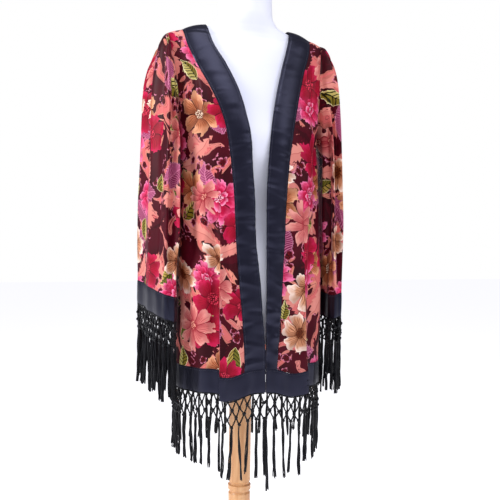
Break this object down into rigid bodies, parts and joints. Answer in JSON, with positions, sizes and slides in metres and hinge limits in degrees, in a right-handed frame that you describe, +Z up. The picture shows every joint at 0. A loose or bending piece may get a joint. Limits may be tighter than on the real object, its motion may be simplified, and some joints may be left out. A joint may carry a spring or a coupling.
{
  "type": "kimono jacket on a limbless dress form",
  "caption": "Open-front kimono jacket of printed cloth with dark satin bands and a knotted tassel fringe, worn by a limbless dress form on a turned wooden stand.",
  "frame": {"origin": "on the floor, at the centre of the underside of the round stand", "axes": "+Z up along the pole, -Y to the front of the jacket, +X to the wearer's left"},
  "size_m": [0.4615, 0.33, 1.494],
  "materials": {
    "printed_cloth": "printed satin-backed velvet with a soft sheen",
    "satin": "dark navy satin with a soft gloss",
    "silk_fringe": "black viscose cords with a silky lustre",
    "form_jersey": "white jersey stretched over the form",
    "stand_wood": "clear-varnished turned beech"
  },
  "bodies": {
    "root": {"stand_base": "stand_wood", "stand_pole": "stand_wood", "dress_form": "form_jersey", "back": "printed_cloth", "front_right": "printed_cloth", "front_left": "printed_cloth", "sleeve_right": "printed_cloth", "sleeve_left": "printed_cloth", "front_band_right": "satin", "front_band_left": "satin", "cuff_right": "satin", "cuff_left": "satin", "hem_band_back": "satin", "hem_band_right": "satin", "hem_band_left": "satin", "hem_fringe_back": "silk_fringe", "hem_fringe_right": "silk_fringe", "hem_fringe_left": "silk_fringe", "cuff_fringe_right_outer": "silk_fringe", "cuff_fringe_right_inner": "silk_fringe", "cuff_fringe_left_outer": "silk_fringe", "cuff_fringe_left_inner": "silk_fringe"}
  },
  "joints": []
}
